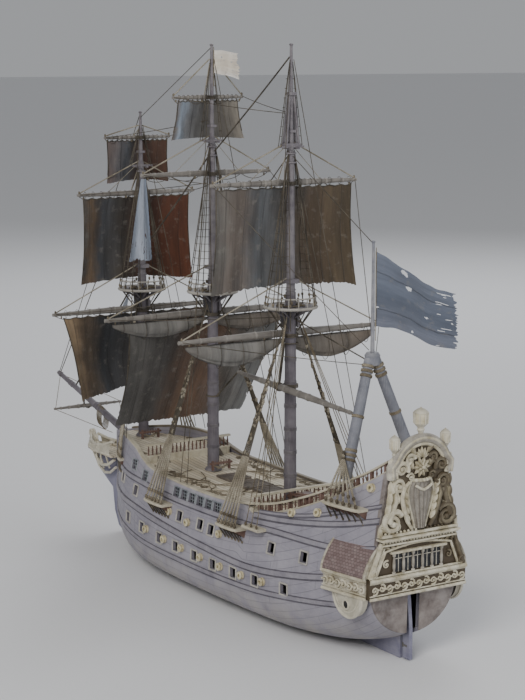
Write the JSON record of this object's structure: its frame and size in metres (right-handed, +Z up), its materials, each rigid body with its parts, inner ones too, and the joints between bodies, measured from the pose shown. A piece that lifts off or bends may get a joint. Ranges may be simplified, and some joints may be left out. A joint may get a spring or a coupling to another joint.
{
  "type": "model sailing ship",
  "caption": "Model of a square-rigged wooden warship with furled and set sails, a carved stern, gun ports, shrouds, turning yards and a hinged rudder.",
  "frame": {"origin": "middle of the keel's flat underside", "axes": "+X to the bow, +Y to port, +Z up"},
  "size_m": [0.6522, 0.216, 0.5],
  "materials": {
    "hull_paint": "satin grey-lilac paint over planks, worn",
    "keel_paint": "satin dark blue-grey paint",
    "deck_wood": "matt planked wood",
    "carved_cream": "carved, cream-olive paint, satin",
    "rail_wood": "red-brown stained rail, satin",
    "gallery_roof": "maroon-brown shingled roof over a carved frieze",
    "spar_wood": "dark blue-grey paint, worn",
    "brass": "aged brass",
    "dark_sail": "ragged streaked sailcloth",
    "pale_cloth": "worn pale cloth",
    "blue_cloth": "faded blue-grey cloth",
    "rope": "twisted cotton cord"
  },
  "bodies": {
    "hull": {"hull_shell": "hull_paint", "keel": "keel_paint", "forecastle_deck": "deck_wood", "waist_deck": "deck_wood", "quarter_deck": "deck_wood", "poop_deck": "deck_wood", "forecastle_rail": "carved_cream", "quarterdeck_rail": "carved_cream", "beakhead": "carved_cream", "transom": "carved_cream", "taffrail": "carved_cream", "side_rail_port": "rail_wood", "side_rail_starboard": "rail_wood", "gallery_port": "gallery_roof", "gallery_starboard": "gallery_roof", "bowsprit": "spar_wood", "fore_lower_mast": "spar_wood", "fore_topmast": "spar_wood", "main_lower_mast": "spar_wood", "main_topmast": "spar_wood", "mizzen_lower_mast": "spar_wood", "mizzen_topmast": "spar_wood", "aft_mast": "spar_wood", "lantern_centre": "brass", "lower_guns_port": "brass", "lower_guns_starboard": "brass", "upper_guns_port": "brass", "upper_guns_starboard": "brass", "masthead_flag": "pale_cloth", "fore_staysail": "pale_cloth", "ensign": "blue_cloth", "fore_shrouds_port": "rope", "fore_shrouds_starboard": "rope", "main_shrouds_port": "rope", "main_shrouds_starboard": "rope", "mizzen_shrouds_port": "rope", "mizzen_shrouds_starboard": "rope", "aft_shrouds_port": "rope", "aft_shrouds_starboard": "rope", "main_stay": "rope", "mizzen_stay": "rope"},
    "fore_yards": {"fore_course_yard": "spar_wood", "fore_topsail_yard": "spar_wood", "fore_topgallant_yard": "spar_wood", "fore_course": "dark_sail", "fore_topsail": "dark_sail", "fore_topgallant": "dark_sail"},
    "main_yards": {"main_course_yard": "spar_wood", "main_topsail_yard": "spar_wood", "main_topgallant_yard": "spar_wood", "main_course": "dark_sail", "main_topsail": "pale_cloth", "main_topgallant": "dark_sail"},
    "mizzen_yards": {"mizzen_course_yard": "spar_wood", "mizzen_topsail_yard": "spar_wood", "mizzen_course": "dark_sail", "mizzen_topsail": "dark_sail"},
    "spritsail_yard": {"spritsail_yard": "spar_wood"},
    "lateen_yard": {"lateen_yard": "spar_wood"},
    "rudder": {"rudder": "keel_paint"}
  },
  "joints": [
    {"name": "rudder_turn", "type": "hinge", "parent": "hull", "child": "rudder", "pos_m": [-0.2405, 0, 0.03], "axis": [0, 0, 1], "range_deg": [-20, 20]},
    {"name": "fore_yards_brace", "type": "hinge", "parent": "hull", "child": "fore_yards", "pos_m": [0.198, 0, 0.238], "axis": [0, 0, 1], "range_deg": [-12, 12]},
    {"name": "main_yards_brace", "type": "hinge", "parent": "hull", "child": "main_yards", "pos_m": [0.062, 0, 0.25], "axis": [0, 0, 1], "range_deg": [-12, 12]},
    {"name": "mizzen_yards_brace", "type": "hinge", "parent": "hull", "child": "mizzen_yards", "pos_m": [-0.07, 0, 0.247], "axis": [0, 0, 1], "range_deg": [-12, 12]},
    {"name": "spritsail_yard_brace", "type": "hinge", "parent": "hull", "child": "spritsail_yard", "pos_m": [0.32, 0, 0.1205], "axis": [0, 0, 1], "range_deg": [-20, 20]},
    {"name": "lateen_yard_swing", "type": "hinge", "parent": "hull", "child": "lateen_yard", "pos_m": [-0.07, 0, 0.201], "axis": [0, 0, 1], "range_deg": [-12, 12]}
  ]
}
